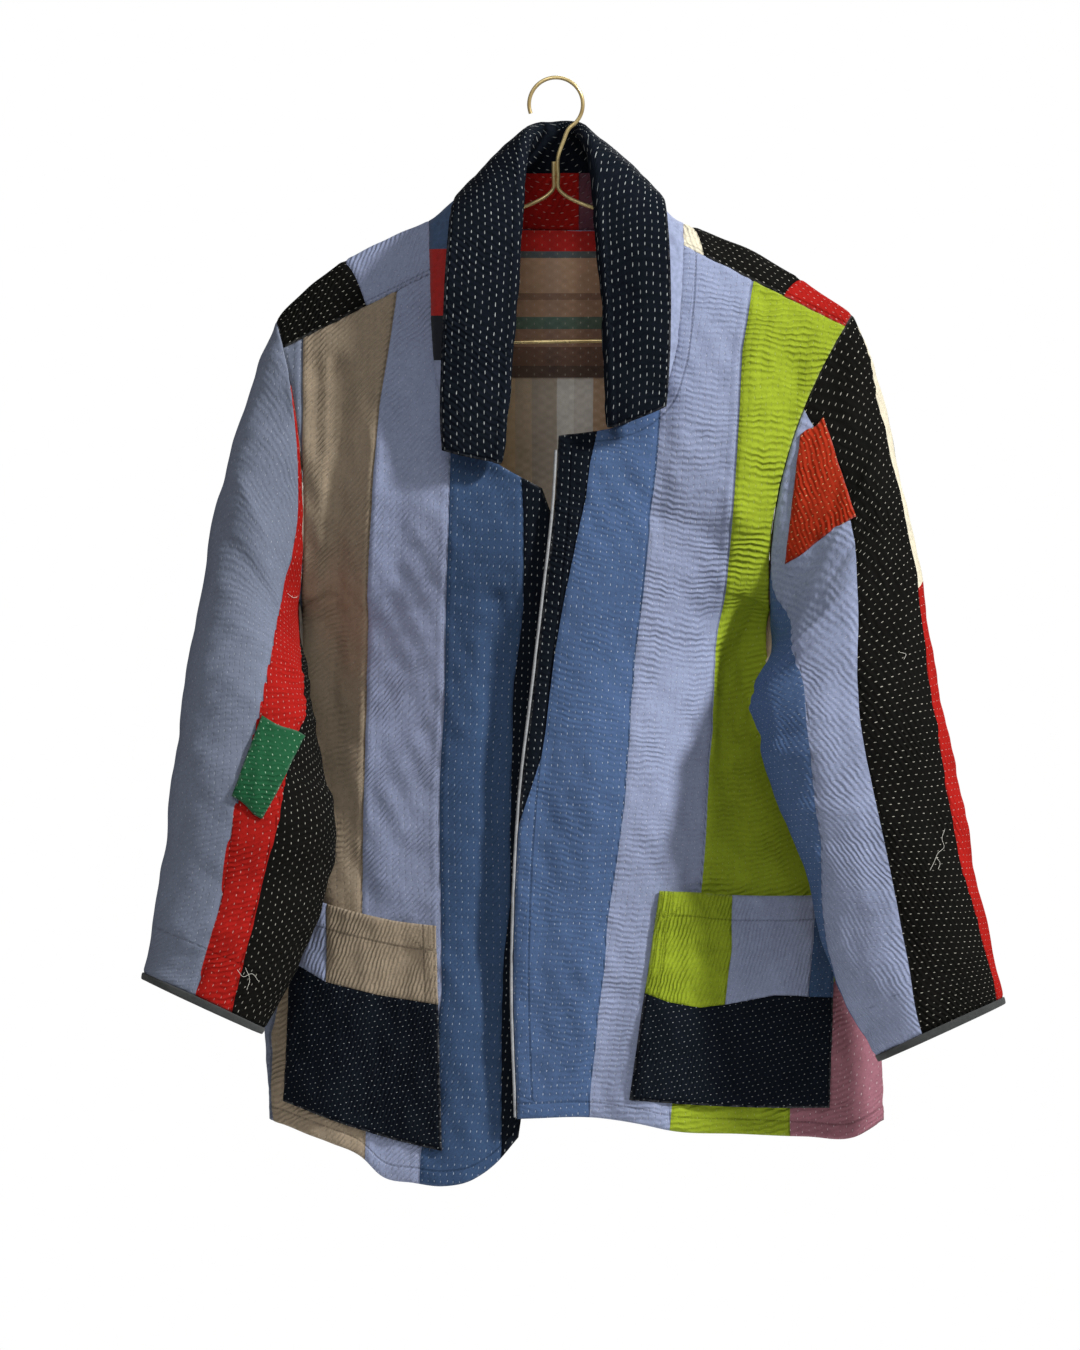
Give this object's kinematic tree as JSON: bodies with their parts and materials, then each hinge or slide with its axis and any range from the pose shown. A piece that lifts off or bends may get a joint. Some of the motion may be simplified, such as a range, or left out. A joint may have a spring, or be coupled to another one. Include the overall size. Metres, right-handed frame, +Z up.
{
  "type": "patched kantha-quilted jacket on a wire hanger",
  "caption": "Open quilted cotton jacket of patched cloth strips, with a folded collar and two patch pockets, hanging on a brass wire hanger.",
  "frame": {"origin": "highest point inside the hanger's hook, where a rail carries it", "axes": "+Z up; +X to the viewer's right, which is the wearer's left; the jacket's fronts face -Y"},
  "size_m": [0.6888, 0.1986, 0.8905],
  "materials": {
    "quilted_front_right": "matt",
    "quilted_front_left": "matt",
    "quilted_back": "matt",
    "quilted_sleeve_right": "matt",
    "quilted_sleeve_left": "matt",
    "quilted_yoke": "matt",
    "navy_stitched": "matt",
    "grey_binding": "matt",
    "pale_piping": "matt",
    "green_patch": "matt",
    "orange_patch": "matt",
    "brass_wire": "polished"
  },
  "bodies": {
    "root": {"hanger": "brass_wire", "front_right": "quilted_front_right", "front_left": "quilted_front_left", "back": "quilted_back", "yoke_right": "quilted_yoke", "yoke_left": "quilted_yoke", "sleeve_right": "quilted_sleeve_right", "sleeve_left": "quilted_sleeve_left", "cuff_right": "grey_binding", "cuff_left": "grey_binding", "collar": "navy_stitched", "pocket_right": "navy_stitched", "pocket_left": "navy_stitched", "patch_green": "green_patch", "patch_orange": "orange_patch", "front_edge_piping": "pale_piping"}
  },
  "joints": []
}
